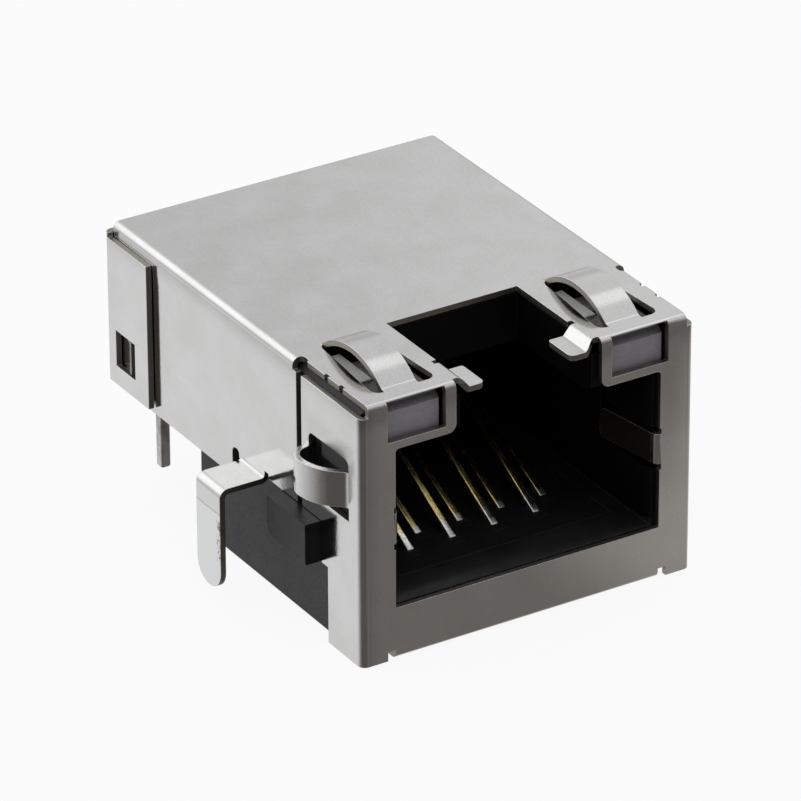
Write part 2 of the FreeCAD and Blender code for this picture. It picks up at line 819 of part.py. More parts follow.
def housing_cuts():
    """Plug cavity, latch channel, pockets of the springs, lamps, leads and carrier."""
    latch = CUT_WIDE / 2
    cuts = [
        box((-CAVITY, CAVITY), (HOUSE_FRONT, FAR), (FLOOR, CEILING)),
        mouth(),
        box((-latch, latch), (0, CUT_BACK), (CEILING, FAR)),
        box((-PLATE_HALF - FIT, PLATE_HALF + FIT), (PLATE_FRONT, FAR), (PLATE_Z - FIT, FLOOR)),
    ]
    tab_seat = box(
        (0, TAB_ROOT + BEND + FIT), (0, TAB_BACK + FIT), (HEIGHT - TAB_STEP - SHEET - FIT, FAR)
    )
    spring = box(
        (0, PORT_WIDE / 2 + BEND + FIT),
        (0, SPRING_LONG + BEND),
        (SPRING_LOW - SPRING_NOTCH, SPRING_LOW + SPRING_WIDE + SPRING_NOTCH),
    )
    half = LAMP_WINDOW / 2
    lamp = box(
        (LAMP_X - half, LAMP_X + half),
        (0, LAMP_SET + LAMP_LONG + FIT),
        (LAMP_SILL - LAMP_LOW - FIT, FAR),
    )
    reach = LEAD / 2 + LEAD_PLAY
    sides = [tab_seat, spring, lamp]
    for centre in lead_places():
        across = (centre - reach, centre + reach)
        sides.append(box(across, (LAMP_SET, LEAD_BACK + reach), (LEAD_Z - reach, FAR)))
        sides.append(box(across, (LEAD_BACK - reach, LEAD_BACK + reach), (0, FAR)))
        inner = reach + LEAD_BEND - LEAD
        sides.append(box(across, (LEAD_BACK - inner, LEAD_BACK), (LEAD_Z - inner, FAR)))
    return cuts + both_sides(sides)


def housing():
    """Moulded insulator."""
    return housing_block().cut(housing_cuts()).removeSplitter()


def carrier():
    """Moulded insert that holds the contacts and closes the plug cavity's rear."""
    half = CARRIER_HALF
    body = [
        box((-PLATE_HALF, PLATE_HALF), (PLATE_FRONT + FIT, SUNK), (PLATE_Z, FLOOR)),
        box((-half, half), (STOP, SUNK), (FLOOR + FIT, CEILING - FIT)),
        box((-half, half), (STOP, SUNK + WALL_STEP), (SHELF_Z, CEILING - FIT)),
        box((-half, half), (STOP, HOUSE_BACK), (SHELF_Z, BLOCK_TOP)),
        box((-PLATE_HALF, PLATE_HALF), (STOP, SUNK), (PLATE_Z, SHELF_Z)),
    ]
    for rib in range(CONTACTS + 1):
        centre = contact_x(rib) - PITCH / 2
        body.append(
            box(
                (centre - RIB / 2, centre + RIB / 2),
                (STOP - COMB_LONG, STOP),
                (COMB_LOW, COMB_HIGH),
            )
        )
    reach = LEAD / 2 + LEAD_PLAY
    holes = []
    for centre in lead_places():
        across = (centre - reach, centre + reach)
        holes.append(box(across, (LEAD_BACK - reach, LEAD_BACK + reach), (0, FAR)))
    channels = [channel(number) for number in range(CONTACTS)]
    return union(body).cut(both_sides(holes) + channels).removeSplitter()


def parts():
    """Every piece of the jack by name."""
    pieces = {"shield": shield(), "housing": housing(), "contact_carrier": carrier()}
    for number in range(CONTACTS):
        pieces[f"contact_{number + 1}"] = contact(number)
    for side, lamp in zip(("right", "left"), both(lens())):
        pieces[f"lamp_{side}"] = lamp
    for end, centre in zip(("inner", "outer"), lead_places()):
        for side, piece in zip(("right", "left"), both(lead(centre))):
            pieces[f"lead_{side}_{end}"] = piece
    return pieces


def main():
    """Writes one STEP file per piece, with the origin under the middle of the jack."""
    os.makedirs("parts", exist_ok=True)
    for name, piece in parts().items():
        piece = piece.copy()
        piece.translate(Vector(0, -DEPTH / 2, 0))
        solid = piece.Solids[0]
        print(name, piece.isValid(), len(piece.Solids), round(solid.Volume, 4), len(piece.Faces))
        solid.exportStep(f"parts/{name}.step")


main()
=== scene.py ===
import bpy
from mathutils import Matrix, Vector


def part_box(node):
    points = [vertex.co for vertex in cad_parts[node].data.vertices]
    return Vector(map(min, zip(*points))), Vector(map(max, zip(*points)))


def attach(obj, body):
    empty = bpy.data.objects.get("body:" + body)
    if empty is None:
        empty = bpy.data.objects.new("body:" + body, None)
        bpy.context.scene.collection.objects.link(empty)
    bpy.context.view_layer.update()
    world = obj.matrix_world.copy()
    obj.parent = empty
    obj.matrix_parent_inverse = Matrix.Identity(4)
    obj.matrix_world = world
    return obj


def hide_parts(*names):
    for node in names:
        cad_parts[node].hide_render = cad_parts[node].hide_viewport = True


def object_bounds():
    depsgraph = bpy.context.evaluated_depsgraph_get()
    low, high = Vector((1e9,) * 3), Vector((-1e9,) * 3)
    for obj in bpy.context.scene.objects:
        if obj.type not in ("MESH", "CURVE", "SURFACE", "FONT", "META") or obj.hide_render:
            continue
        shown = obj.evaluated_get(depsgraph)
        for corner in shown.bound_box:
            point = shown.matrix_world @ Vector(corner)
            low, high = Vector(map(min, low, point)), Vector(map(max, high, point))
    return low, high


bl_info = {
    "name": "Board jack finish",
    "version": (1, 0, 0),
    "blender": (4, 5, 0),
    "location": "View3D > Sidebar > Board jack",
    "description": "Dresses a shielded modular jack and sets it in a plain studio",
    "category": "Object",
}

import math

import bpy
import numpy as np
from bpy.props import FloatProperty, FloatVectorProperty, IntProperty, PointerProperty
from mathutils import Quaternion, Vector
from mathutils.bvhtree import BVHTree

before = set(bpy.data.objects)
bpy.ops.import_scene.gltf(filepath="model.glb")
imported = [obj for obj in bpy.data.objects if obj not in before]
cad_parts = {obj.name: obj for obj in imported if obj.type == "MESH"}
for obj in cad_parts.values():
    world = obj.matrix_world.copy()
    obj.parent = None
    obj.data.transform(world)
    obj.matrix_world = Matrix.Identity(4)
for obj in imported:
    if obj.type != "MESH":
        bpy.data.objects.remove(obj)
CAD_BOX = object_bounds()

MM = 0.001
CORNERS_MEET = 1e-7  # vertices closer than this are one, in metres
FRONT = CAD_BOX[0].y  # the front face's outer side is at the box's lowest y
SHEET = 0.25 * MM  # thickness of the shield's sheet
CREASE = math.radians(30)  # a dressed solid's edges stay sharp above this turn
WIRE_CREASE = math.radians(50)  # and a wire's above this one
TIP_LENGTH = 0.25  # length of a wire's drawn-in end, as a share of its half width
TIP_SIZE = 0.78  # size of the end's face, as a share of the wire's section

# Contacts, in mm behind the front face and above the lowest edge, as the solids have them.
CONTACTS = 8
PITCH = 1.02 * MM
WIRE_THICKNESS = 0.28
SUNK = 13.30  # depth of the part that sinks through the board
WALL = 0.70  # insert's wall at the cavity's rear
FREE_END = 1.10  # from a contact's free end to that wall
FLOOR_TOP = 2.70  # top of the insert's floor
UNDER_TOP = 1.75  # top side of the run in the floor
OVER_TOP = 5.40  # top side of the run over the rear block
TAIL_BEHIND = 1.90  # first row of tails behind the sunk part
TAIL_END = 0.70  # lower ends of the tails
TOP_LEAVES = 0.12  # the solid's top side leaves the floor this far behind its middle line

# The two rows, odd contacts first: where the solid's wire leaves the floor, where this one does,
# how steeply it climbs, in degrees, and how far its tail stands behind the first row's.
ROWS = (
    {"leave": 3.20, "rise": 3.44, "slope": 24.2, "tail": 0.0},
    {"leave": 4.25, "rise": 4.47, "slope": 20.8, "tail": 2.54},
)

# Plastic in the floor's slots, ahead of the wires: half sizes, place ahead of leave, and height.
FILL_HALVES = (0.24, 0.20, 0.25)
FILL_AHEAD = 0.14
FILL_HEIGHT = 2.448 * MM

# Blocks of the jack where a finish, a painted shade or a painted light changes. Each line is
# (direction, low, high, fade) in mm: side is the distance from the middle plane, y starts at
# the front face, z at the lowest edge.
# Painted shade: the plug springs darkened where they lie in the port's shade.
PLUG_SPRING_SHADE = (("side", 5.0, 6.36, 0.05), ("y", 0.32, 4.0, 0.05), ("z", 5.2, 6.9, 0.05))
# Painted shade: the port's inner walls darkened, and their reflections dimmed.
PORT_SHADE = (("side", -6.6, 6.6, 0.05), ("y", 0.0, 13.2, 0.05), ("z", 2.74, 12.0, 0.05))
# Painted light: the housing wall behind the arch windows made paler where light hardly reaches it.
ARCH_WALL_LIGHT = (("side", 7.0, 7.98, 0.05), ("y", 0.8, 3.5, 0.05), ("z", 8.2, 9.8, 0.05))
# Painted highlight: the arch strips' cut rims made paler, half way to the edge highlight tone.
ARCH_RIM_HIGHLIGHT = (("y", 1.5, 4.6, 0.5),)
PRESSED_FLAP = (("y", 0.2, 4.4, 0.5), ("z", 8.3, 10.3, 0.6))
LAMP_CUP = (("side", 4.885, 5.825, 0.04), ("y", 2.45, 3.81, 0.06))

# Bands where one finish, painted light or painted shade passes into the next, each from its start to its
# end.
LEGS = (9.3 * MM, 9.5 * MM)  # from the middle plane out
FLAPS = (7.90 * MM, 8.05 * MM)
TO_SIDE_BEND = (6.9 * MM, 7.67 * MM)
TO_TOP_BEND = (10.5 * MM, 11.6 * MM)  # up
IN_SLOT = (2.90 * MM, 2.82 * MM)
LENS_CHAMFER = (11.22 * MM, 11.28 * MM)
# Painted light: above this band the lamps' raised top takes the pale rim tone.
LAMP_RAISED = (11.58 * MM, 11.62 * MM)
BELOW_LENS_TOP = (11.3 * MM, 11.2 * MM)
IN_SHADE = (FRONT + 4.9 * MM, FRONT + 7.4 * MM)  # back from the front
LENS_FRONT = (FRONT + 0.66 * MM, FRONT + 0.60 * MM)
DARK_FROM = (FRONT + 0.70 * MM, FRONT + 1.30 * MM)
DARK_TO = (FRONT + 2.70 * MM, FRONT + 3.20 * MM)
GLOW_RIGHT = (1 * MM, 9 * MM)  # on the floor
GLOW_BEFORE = (FRONT - 16 * MM, FRONT - 1 * MM)
GLOW_AHEAD = (FRONT + 5 * MM, FRONT)
LEG_FRONT = FRONT + 7.6 * MM  # front edge of a leg
LEG_MIDDLE = 2.95 * MM  # height of the middle of its flecked strip

# The room's brightness by direction: bands of its x to the right, y back and z up, from start
# to end, and levels as shares of full brightness.
SKY_OPENS = (-0.90, -0.30)  # y over which the dim front turns into the pale sky
PATCH_MIDDLE = 0.20  # y of the brighter patch overhead
PATCH_SIDES = (0.22, 0.08)  # distance from that y
PATCH_LOW_EDGE = (0.66, 0.80)  # z
RIGHT_EDGE = (0.44, 0.50)  # x where the brighter right begins
RIGHT_LEVELS = (0.97, 1.15)  # left and right of it
GROUND_RISES = (-0.10, 0.78)  # y
CORNER_AHEAD = (-0.10, -0.35)  # y of the ground's darker corner, ahead on the left
CORNER_SIDE = (-0.10, 0.42)  # x where that corner ends
CORNER_LEVEL = 0.60
HORIZON = (-0.12, 0.20)  # z over which the ground turns into the sky
DIP_EDGE = (0.18, 0.42)  # z, up or down, where the dip at the horizon ends
DIP_LEVEL = 0.76
WINDOW_WAY = (-0.465, 0.753, 0.465)  # direction of the soft light behind, on the left
WINDOW_EDGE = (0.81, 0.985)  # cosine of the angle from that direction
TONE_BAND = (0.2, 0.55)  # brightness over which the front's tone turns into cool white
COOL_WHITE = (0.99, 0.998, 1, 1)
WHITE = (1, 1, 1, 1)
LAMP_PLACE = (-0.124, 0.42, 0.243)
LAMP_AIM = (0, 0, 6 * MM)
LAMP_SIDE = 0.50  # side of the rear lamp's square


def colour(name, description, default):
    """Colour property with the usual limits."""
    return FloatVectorProperty(
        name=name, description=description, subtype="COLOR", size=3, min=0, max=1, default=default
    )


def length(name, description, default):
    """Length property in metres."""
    return FloatProperty(
        name=name, description=description, unit="LENGTH", subtype="DISTANCE", default=default, min=0
    )


def share(name, description, default):
    """Property between nought and one."""
    return FloatProperty(
        name=name, description=description, subtype="FACTOR", default=default, min=0, max=1
    )


class SheetFinish(bpy.types.PropertyGroup):
    """Satin nickel of the folded shield."""

    light: colour("Light nickel", "Brightest tone of the plated sheet", (0.79, 0.79, 0.783))
    dark: colour("Dark nickel", "Dullest tone of the plated sheet", (0.72, 0.72, 0.708))
    # The rubbed edge tone is a painted highlight, laid along the sheet's rounded edges and half on the
    # arch rims.
    edge: colour("Rubbed edge", "Tone of the sheet's rounded edges", (0.96, 0.95, 0.93))
    stain: colour("Stain", "Tone of the dip line and of the flecks on the legs", (0.30, 0.27, 0.20))
    sheared: colour("Sheared edge", "Tone of the sheet's cut edges", (0.34, 0.32, 0.29))
    foot: colour("Dipped foot", "Tone of the legs below their dip line", (0.845, 0.85, 0.855))
    dip_line: length("Dip line", "Height of the line across the legs", 4.22 * MM)
    gloss: share("Roughness", "Roughness of the plating between its grains", 0.12)
    spread: share("Roughness spread", "How much the roughness varies", 0.05)
    grain: length("Grain", "Size of the rolled sheet's fine grain", 0.09 * MM)
    blotch: length("Blotch", "Size of the soft clouds in the plating", 2.4 * MM)
    depth: length("Grain depth", "Height of the fine grain", 0.0030 * MM)
    rounding: length("Edge rounding", "Radius that the sheet's edges catch light on", 0.045 * MM)
    # The plug spring tone is painted shade on the springs inside the port.
    spring: colour("Plug spring", "Tone of the springs in the port's shade", (0.11, 0.10, 0.095))
    crown: length("Crown", "How far the plates draw in towards the top bend", 0.117 * MM)


class MouldingFinish(bpy.types.PropertyGroup):
    """Black moulded plastic of the housing and the insert."""

    light: colour("Light black", "Palest tone of the moulding", (0.016, 0.016, 0.017))
    dark: colour("Dark black", "Deepest tone of the moulding", (0.008, 0.008, 0.0085))
    # The inner walls' tone is painted shade inside the port.
    inner: colour("Inner walls", "Tone of the walls inside the port", (0.0035, 0.0035, 0.0037))
    # The side wall's tone is painted light behind the arch windows.
    wall: colour("Side wall", "Tone of the wall behind the arch windows", (0.12, 0.12, 0.125))
    insert: colour("Insert", "Tone of the moulded insert", (0.012, 0.012, 0.013))
    # The rubbed edge tone is a painted highlight along the edges, and also the tone of the paler dust.
    sheen_and_dust: colour("Rubbed edge", "Tone of the moulding's worn edges", (0.060, 0.060, 0.062))
    gloss: share("Roughness", "Roughness of the moulded skin", 0.42)
    grain: length("Grain", "Size of the mould's spark texture", 0.07 * MM)
    depth: length("Grain depth", "Height of the spark texture", 0.004 * MM)
    rounding: length("Edge rounding", "Radius of the moulding's edges", 0.06 * MM)


class ContactFinish(bpy.types.PropertyGroup):
    """Shape and plating of the sprung contacts."""

    gold: colour("Gold", "Gold plate on the sliding part", (0.95, 0.74, 0.30))
    nickel: colour("Nickel", "Nickel plate on the rest", (0.86, 0.85, 0.83))
    pit: colour("Pits", "Dark marks on the wire and the shade on its far part", (0.16, 0.145, 0.12))
    tarnish: colour("Tarnish", "Duller gold in patches", (0.70, 0.52, 0.20))
    gloss: share("Roughness", "Roughness of the plating", 0.20)
    gold_from: length("Gold from", "Gold starts this far behind the front face", 4.2 * MM)
    fade: length("Fade", "Length over which nickel turns to gold", 0.8 * MM)
    width: length("Width", "Width of the flat wire", 0.36 * MM)
    thickness: length("Thickness", "Thickness of the flat wire", 0.28 * MM)
    bend: length("Bend", "Radius of the wire's middle line at a bend", 0.31 * MM)
    tip_bend: length("Tip bend", "Radius of the middle line where the wire leaves the floor", 0.20 * MM)
    steps: IntProperty(name="Steps", description="Steps round a bend", default=9, min=3, max=40)


class LeadFinish(bpy.types.PropertyGroup):
    """Shape and plating of the indicators' leads."""

    tin: colour("Tin", "Tone of the tinned wire", (0.68, 0.675, 0.66))
    dull: colour("Dull tin", "Tone of the dull patches", (0.46, 0.45, 0.43))
    gloss: share("Roughness", "Roughness of the tin", 0.34)
    side: length("Side", "Side of the square wire", 0.46 * MM)
    bend: length("Bend", "Radius of the wire's middle line at its bend", 0.52 * MM)
    steps: IntProperty(name="Steps", description="Steps round a bend", default=14, min=3, max=60)


class LampFinish(bpy.types.PropertyGroup):
    """Cloudy resin of the indicators."""

    milk: colour("Milk", "Cloudy resin at the lens face", (0.300, 0.290, 0.318))
    clear: colour("Edge", "Paler resin along the edges", (0.34, 0.34, 0.36))
    # The rim tone is painted light on the top of the raised rear part.
    rim_highlight: colour("Rim", "Pale top of the raised rear part", (0.80, 0.80, 0.78))
    slope: colour("Slope", "Darker band of the lens's upper slope", (0.135, 0.13, 0.142))
    inner: colour("Inner", "Brown shadow of the lead frame in the resin", (0.17, 0.155, 0.15))
    cup: colour("Cup", "Shaded well behind the lens", (0.20, 0.19, 0.185))
    gloss: share("Roughness", "Roughness of the resin", 0.22)
    rounding: length("Edge rounding", "Radius of the resin's edges", 0.07 * MM)


class StudioSettings(bpy.types.PropertyGroup):
    """Camera, floor and lights."""

    azimuth: FloatProperty(
        name="Azimuth",
        description="Camera's bearing from straight ahead of the port",
        subtype="ANGLE",
        default=math.radians(-31.58),
    )
    elevation: FloatProperty(
        name="Elevation",
        description="Camera's height above the horizon",
        subtype="ANGLE",
        default=math.radians(27.88),
    )
    roll: FloatProperty(
        name="Roll",
        description="Camera's turn about its own line of sight",
        subtype="ANGLE",
        default=math.radians(-0.24),
    )
    place: FloatVectorProperty(
        name="Place",
        description="Camera's place",
        subtype="TRANSLATION",
        unit="LENGTH",
        default=(-0.13403, -0.21817, 0.14106),
    )
    lens: FloatProperty(
        name="Lens", description="Focal length for a 36 mm sensor", default=311.54, unit="CAMERA"
    )
    floor: length("Floor", "Side of the square floor", 4.0)
    floor_tone: colour("Floor tone", "Tone of the floor", (0.86, 0.86, 0.86))
    shadow: share("Shadow", "How much of the floor's own light the camera sees", 0.08)
    sky: share("Room light", "Brightness of the pale room round the object", 0.65)
    ground: share("Ground light", "Brightness of the ground behind, as metal sees it", 0.80)
    dim: share("Front shade", "Brightness of the room in front of the object", 0.17)
    warm: colour("Front tone", "Tone of the dim room in front", (1.0, 0.935, 0.88))
    overhead: share("Overhead", "Added brightness of the light overhead", 0.28)
    glow: share("Glow", "Added brightness of the ground by the right front corner", 0.17)
    window: FloatProperty(
        name="Window", description="Added brightness of the soft light behind, on the left", default=0.52
    )
    key: FloatProperty(name="Key", description="Power of the rear lamp", default=0.12, unit="POWER")


def linked(name, data):
    """Object with some data, in the scene."""
    made = bpy.data.objects.new(name, data)
    bpy.context.scene.collection.objects.link(made)
    return made


def new_piece(name, points, faces, material):
    """Object with its place in its mesh, riding on the jack's body."""
    mesh = bpy.data.meshes.new(name)
    mesh.from_pydata(points.tolist(), [], faces)
    mesh.update()
    piece = linked(name, mesh)
    mesh.materials.append(material)
    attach(piece, "root")
    return piece


def smooth(piece, sharp):
    """Shades a piece smooth, with its edges sharp above an angle and its flats kept flat."""
    piece.data.shade_smooth()
    piece.data.set_sharp_from_angle(angle=sharp)
    flats = piece.modifiers.new("Flat faces", "WEIGHTED_NORMAL")
    flats.keep_sharp = True
    flats.weight = 100


def merged_node(node):
    """Corners and triangles of a CAD node, with equal corners merged.

    Each corner is rounded to a grid of a tenth of a micron, and corners on one grid
    point share the first one's number.
    """
    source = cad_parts[node]
    mesh = source.data
    mesh.calc_loop_triangles()
    points = np.empty(len(mesh.vertices) * 3)
    mesh.vertices.foreach_get("co", points)
    turn = np.array(source.matrix_world)
    points = points.reshape(-1, 3) @ turn[:3, :3].T + turn[:3, 3]
    corners = np.empty(len(mesh.loop_triangles) * 3, dtype=np.int64)
    mesh.loop_triangles.foreach_get("vertices", corners)
    grid = np.round(points / CORNERS_MEET).astype(np.int64)
    _, first, number = np.unique(grid, axis=0, return_index=True, return_inverse=True)
    triangles = number.reshape(-1)[corners].reshape(-1, 3)
    ends = np.roll(triangles, 1, axis=1)
    kept = (triangles != ends).all(axis=1)
    return points[first], triangles[kept].tolist()


def dressed_copy(node, name, material):
    """Smoothly shaded copy of a CAD node, which it stands for."""
    points, faces = merged_node(node)
    piece = new_piece(name, points, faces, material)
    smooth(piece, CREASE)
    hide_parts(node)
    return piece


def mark_sheared(piece, sheet):
    """Marks the faces of a folded sheet that are cut edges.

    A face's mark is one where a ray from just inside its middle, into the sheet along the
    normal, runs further than a sheet and a third before it comes out, and nought elsewhere.
    """
    mesh = piece.data
    count = len(mesh.polygons)
    middles = np.empty(count * 3)
    normals = np.empty(count * 3)
    mesh.polygons.foreach_get("center", middles)
    mesh.polygons.foreach_get("normal", normals)
    normals = normals.reshape(-1, 3)
    starts = middles.reshape(-1, 3) - normals * sheet * 0.01
    tree = BVHTree.FromPolygons(
        [v.co for v in mesh.vertices], [tuple(face.vertices) for face in mesh.polygons]
    )
    marks = np.zeros(count)
    for i, (start, normal) in enumerate(zip(starts, normals)):
        reach = tree.ray_cast(Vector(start), Vector(-normal))[3]
        marks[i] = reach is not None and reach > sheet * 4 / 3
    mesh.attributes.new("sheared", "FLOAT", "FACE").data.foreach_set("value", marks)


def bent_line(corners, radius, steps):
    """Points and headings of a flat line whose corners are turned on arcs.

    An arc starts radius times the tangent of half the turn before the corner. Its
    points are the arc's centre plus the radius times the normal, turned by evenly
    spaced shares of the corner's turn. The radius is one number, or one a corner.
    """
    corners = np.asarray(corners, dtype=float)
    runs = np.diff(corners, axis=0)
    runs /= np.linalg.norm(runs, axis=1, keepdims=True)
    bearings = np.arctan2(runs[:, 1], runs[:, 0])
    turns = np.diff(bearings)
    turns = (turns + np.pi) % (2 * np.pi) - np.pi
    shares = np.linspace(0, 1, steps)
    radius = np.broadcast_to(radius, turns.shape)[:, None]
    reach = radius[:, 0] * np.tan(np.abs(turns) / 2)
    sides = np.sign(turns)
    starts = corners[1:-1] - runs[:-1] * reach[:, None]
    normals = np.stack([-runs[:-1, 1], runs[:-1, 0]], axis=1) * sides[:, None]
    centres = starts + normals * radius
    headings = bearings[:-1, None] + turns[:, None] * shares
    outward = np.stack([np.sin(headings), -np.cos(headings)], axis=2) * sides[:, None, None]
    arcs = centres[:, None, :] + outward * radius[:, :, None]
    points = np.vstack([corners[:1], arcs.reshape(-1, 2), corners[-1:]])
    headings = np.concatenate([bearings[:1], headings.reshape(-1), bearings[-1:]])
    return points, headings


def rounded_section(width, height, points=24, power=5.0):
    """Outline of a wire: a superellipse, the cosine and sine to the power two over n."""
    angle = np.linspace(0, 2 * np.pi, points, endpoint=False) + np.pi / points
    cosine = np.cos(angle)
    sine = np.sin(angle)
    u = width / 2 * np.sign(cosine) * np.abs(cosine) ** (2 / power)
    v = height / 2 * np.sign(sine) * np.abs(sine) ** (2 / power)
    return np.stack([u, v], axis=1)


def swept_wire(line, headings, across, section):
    """Tube of a section carried along a line in the plane x = across.

    Point (i, j) is line point i, moved by the section's first coordinate along x and
    by its second one along the line's normal. Each end is drawn in by one short ring
    and closed by one face.
    """
    along = np.stack([np.cos(headings), np.sin(headings)], axis=1)
    tip = np.abs(section).max() * TIP_LENGTH
    line = np.vstack([line[:1], line, line[-1:]])
    along = np.vstack([along[:1], along, along[-1:]])
    size = np.ones(len(line))
    size[[0, -1]] = TIP_SIZE
    line[1] += along[1] * tip
    line[-2] -= along[-2] * tip
    normal = np.stack([-along[:, 1], along[:, 0]], axis=1)
    u = section[None, :, 0] * size[:, None]
    v = section[None, :, 1] * size[:, None]
    x = np.broadcast_to(across + u, v.shape)
    y = line[:, None, 0] + normal[:, None, 0] * v
    z = line[:, None, 1] + normal[:, None, 1] * v
    points = np.stack([x, y, z], axis=2).reshape(-1, 3)
    rings, count = v.shape
    i, j = np.meshgrid(np.arange(rings - 1), np.arange(count), indexing="ij")
    nxt = (j + 1) % count
    quads = np.stack([i * count + j, i * count + nxt, (i + 1) * count + nxt, (i + 1) * count + j], 2)
    faces = quads.reshape(-1, 4).tolist()
    first = list(range(count))
    last = [(rings - 1) * count + k for k in range(count)]
    faces += [first[::-1], last]
    return points, outward_faces(points, faces)


def outward_faces(points, faces):
    """The faces, turned over if the volume that they close comes out negative."""
    four = [face for face in faces if len(face) == 4]
    p = points[np.array(four)]
    volume = np.einsum("ij,ij->i", p[:, 0], np.cross(p[:, 1], p[:, 2])).sum()
    volume += np.einsum("ij,ij->i", p[:, 0], np.cross(p[:, 2], p[:, 3])).sum()
    return faces if volume > 0 else [face[::-1] for face in faces]


def add(tree, kind, inputs=None, **settings):
    """Adds a node, with its settings and its inputs given as values or sockets."""
    made = tree.nodes.new(kind)
    for key, value in settings.items():
        setattr(made, key, value)
    for key, value in (inputs or {}).items():
        if isinstance(value, bpy.types.NodeSocket):
            tree.links.new(value, made.inputs[key])
        else:
            made.inputs[key].default_value = value
    return made


def rgba(tone):
    """Colour with full opacity."""
    return (*tone, 1.0)


def blend_of(tree, amount, low, high):
    """Mix of two colours by an amount."""
    made = add(tree, "ShaderNodeMix", {0: amount, 6: low, 7: high}, data_type="RGBA")
    return made.outputs[2]


def ranged(tree, value, low, high, to_low=0.0, to_high=1.0, curve="SMOOTHSTEP"):
    """Value carried from one range to another."""
    made = add(
        tree,
        "ShaderNodeMapRange",
        {"Value": value, "From Min": low, "From Max": high, "To Min": to_low, "To Max": to_high},
        interpolation_type=curve,
    )
    return made.outputs["Result"]


def noise(tree, where, size, detail=3.0, roughness=0.5, stretch=None, shift=0.0):
    """Noise with features of a size in metres, drawn out along an axis if asked."""
    scale = (1 / size,) * 3 if stretch is None else tuple(1 / (size * s) for s in stretch)
    place = add(
        tree, "ShaderNodeMapping", {"Vector": where, "Location": (shift,) * 3, "Scale": scale}
    )
    made = add(
        tree,
        "ShaderNodeTexNoise",
        {"Vector": place.outputs[0], "Scale": 1.0, "Detail": detail, "Roughness": roughness},
    )
    return made.outputs["Fac"]


def calculated(tree, kind, first, *rest):
    """Result of a sum on two or more values, worked out from the left."""
    for value in rest:
        first = add(tree, "ShaderNodeMath", {0: first, 1: value}, operation=kind).outputs[0]
    return first


def product(tree, *values):
    """Product of two or more values."""
    return calculated(tree, "MULTIPLY", *values)


def distance(tree, value, middle=None):
    """How far a value lies from a middle, or from nought."""
    if middle is not None:
        value = calculated(tree, "SUBTRACT", value, middle)
    return calculated(tree, "ABSOLUTE", value, 0)


def between(tree, amount, low, high):
    """Mix of two values by an amount."""
    return add(tree, "ShaderNodeMix", {0: amount, 2: low, 3: high}, data_type="FLOAT").outputs[0]


def layered(tree, base, layers):
    """Tones laid over a colour in turn, each given as (amount, tone)."""
    for amount, tone in layers:
        base = blend_of(tree, amount, base, rgba(tone))
    return base


def mixed(tree, amount, first, second):
    """Mix of two shaders by an amount."""
    return add(tree, "ShaderNodeMixShader", {0: amount, 1: first, 2: second}).outputs[0]


def cleared_tree(owner):
    """Empty node tree of a material or of the world."""
    owner.use_nodes = True
    owner.node_tree.nodes.clear()
    return owner.node_tree


def new_material(name, rounding):
    """Material with the surface shader, object coordinates, a rounded normal and an edge mask."""
    material = bpy.data.materials.new(name)
    tree = cleared_tree(material)
    where = add(tree, "ShaderNodeTexCoord").outputs["Object"]
    rounded = add(tree, "ShaderNodeBevel", {"Radius": rounding}, samples=6).outputs[0]
    flat = add(tree, "ShaderNodeNewGeometry").outputs["Normal"]
    dot = add(tree, "ShaderNodeVectorMath", {0: rounded, 1: flat}, operation="DOT_PRODUCT")
    edge = ranged(tree, dot.outputs["Value"], 0.995, 0.86)
    shader = add(tree, "ShaderNodeBsdfPrincipled")
    add(tree, "ShaderNodeOutputMaterial", {"Surface": shader.outputs[0]})
    return material, tree, where, rounded, edge, shader


def places(tree, where):
    """Coordinates by name: side is the distance from the jack's middle plane."""
    axes = add(tree, "ShaderNodeSeparateXYZ", {"Vector": where}).outputs
    return {"where": where, "side": distance(tree, axes["X"]), "y": axes["Y"], "z": axes["Z"]}


def turned_back(tree):
    """Rearward share of the surface's normal: minus one where it faces straight ahead."""
    normal = add(tree, "ShaderNodeNewGeometry").outputs["Normal"]
    return add(tree, "ShaderNodeSeparateXYZ", {"Vector": normal}).outputs["Y"]


def block_mask(tree, place, block):
    """One inside a block of the jack and nought outside it, fading just inside its limits.

    It is the product of one mask a direction, which goes from one to nought in a smooth
    step as the distance from the block's middle grows to half the block's length.
    """
    masks = []
    for way, low, high, fade in block:
        start = FRONT if way == "y" else 0.0
        middle = start + (low + high) / 2 * MM
        half = (high - low) / 2 * MM
        masks.append(ranged(tree, distance(tree, place[way], middle), half, half - fade * MM))
    return product(tree, *masks)


def bumped(tree, shader, normal, layers):
    """Bump layers given as (height, depth in metres, strength), over a normal."""
    for height, depth, strength in layers:
        made = add(
            tree,
            "ShaderNodeBump",
            {"Height": height, "Distance": depth, "Strength": strength, "Normal": normal},
        )
        normal = made.outputs[0]
    tree.links.new(normal, shader.inputs["Normal"])


def finished(tree, shader, base, rough, metallic=0.0):
    """Gives the surface shader its colour, its roughness and its share of metal."""
    tree.links.new(base, shader.inputs["Base Color"])
    tree.links.new(rough, shader.inputs["Roughness"])
    shader.inputs["Metallic"].default_value = metallic


